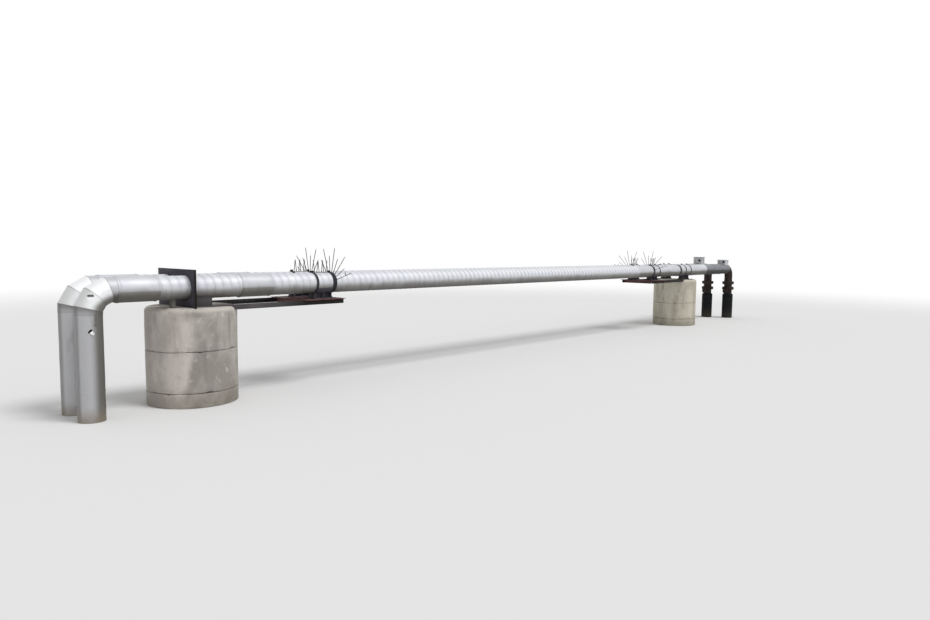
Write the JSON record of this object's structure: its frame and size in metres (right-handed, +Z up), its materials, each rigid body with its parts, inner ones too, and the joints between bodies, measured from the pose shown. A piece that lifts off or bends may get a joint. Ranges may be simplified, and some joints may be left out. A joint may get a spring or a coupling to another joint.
{
  "type": "industrial pipe bridge",
  "caption": "Pair of insulated pipelines carried over a stream on round concrete ring piers, with mitred bends, cantilever steel frames and an anchor plate.",
  "frame": {"origin": "on the ground under the middle of the bridge, at the centre of the underside of its bounding box", "axes": "+X along the pipes from the left risers to the right legs, +Y away from the near pipe, +Z up"},
  "size_m": [22.385, 1.8334, 2.4204],
  "materials": {
    "concrete": "matte",
    "spiral_sheet": "satin",
    "plain_sheet": "satin",
    "dull_sheet": "satin",
    "vent_sheet": "satin",
    "dark_paint": "matte",
    "frame_paint": "matte",
    "rusty_steel": "matte",
    "shoe_paint": "matte",
    "leg_paint": "matte",
    "carrier_steel": "matte",
    "felt": "matte",
    "packing": "matte"
  },
  "bodies": {
    "root": {"left_pier_cap": "concrete", "left_pier_ring": "concrete", "left_pier_foot": "concrete", "right_pier_cap": "concrete", "right_pier_ring": "concrete", "right_pier_foot": "concrete", "left_frame_beams": "frame_paint", "left_frame_deck": "rusty_steel", "left_frame_shoes": "shoe_paint", "left_frame_straps": "dark_paint", "right_frame_beams": "frame_paint", "right_frame_deck": "rusty_steel", "right_frame_shoes": "shoe_paint", "right_frame_straps": "dark_paint", "climb_guards": "dark_paint", "anchor_plate": "dark_paint", "anchor_saddles": "frame_paint", "packing_block": "packing", "pier_saddles": "shoe_paint", "pier_saddle_straps": "dark_paint", "flanged_spools": "leg_paint", "foot_wraps": "felt", "vent_boxes": "vent_sheet", "near_left_leg": "carrier_steel", "near_riser_jacket": "plain_sheet", "near_elbow_jacket": "plain_sheet", "near_joint_sleeves": "plain_sheet", "near_spiral_short": "spiral_sheet", "near_spiral_long": "spiral_sheet", "near_sheet_jacket": "plain_sheet", "near_end_jacket": "dull_sheet", "near_carrier_pipe": "carrier_steel", "near_right_elbow": "leg_paint", "near_right_leg": "leg_paint", "far_left_leg": "carrier_steel", "far_riser_jacket": "plain_sheet", "far_elbow_jacket": "plain_sheet", "far_joint_sleeves": "plain_sheet", "far_spiral_short": "spiral_sheet", "far_spiral_long": "spiral_sheet", "far_sheet_jacket": "plain_sheet", "far_end_jacket": "dull_sheet", "far_carrier_pipe": "carrier_steel", "far_right_elbow": "leg_paint", "far_right_leg": "leg_paint"}
  },
  "joints": []
}
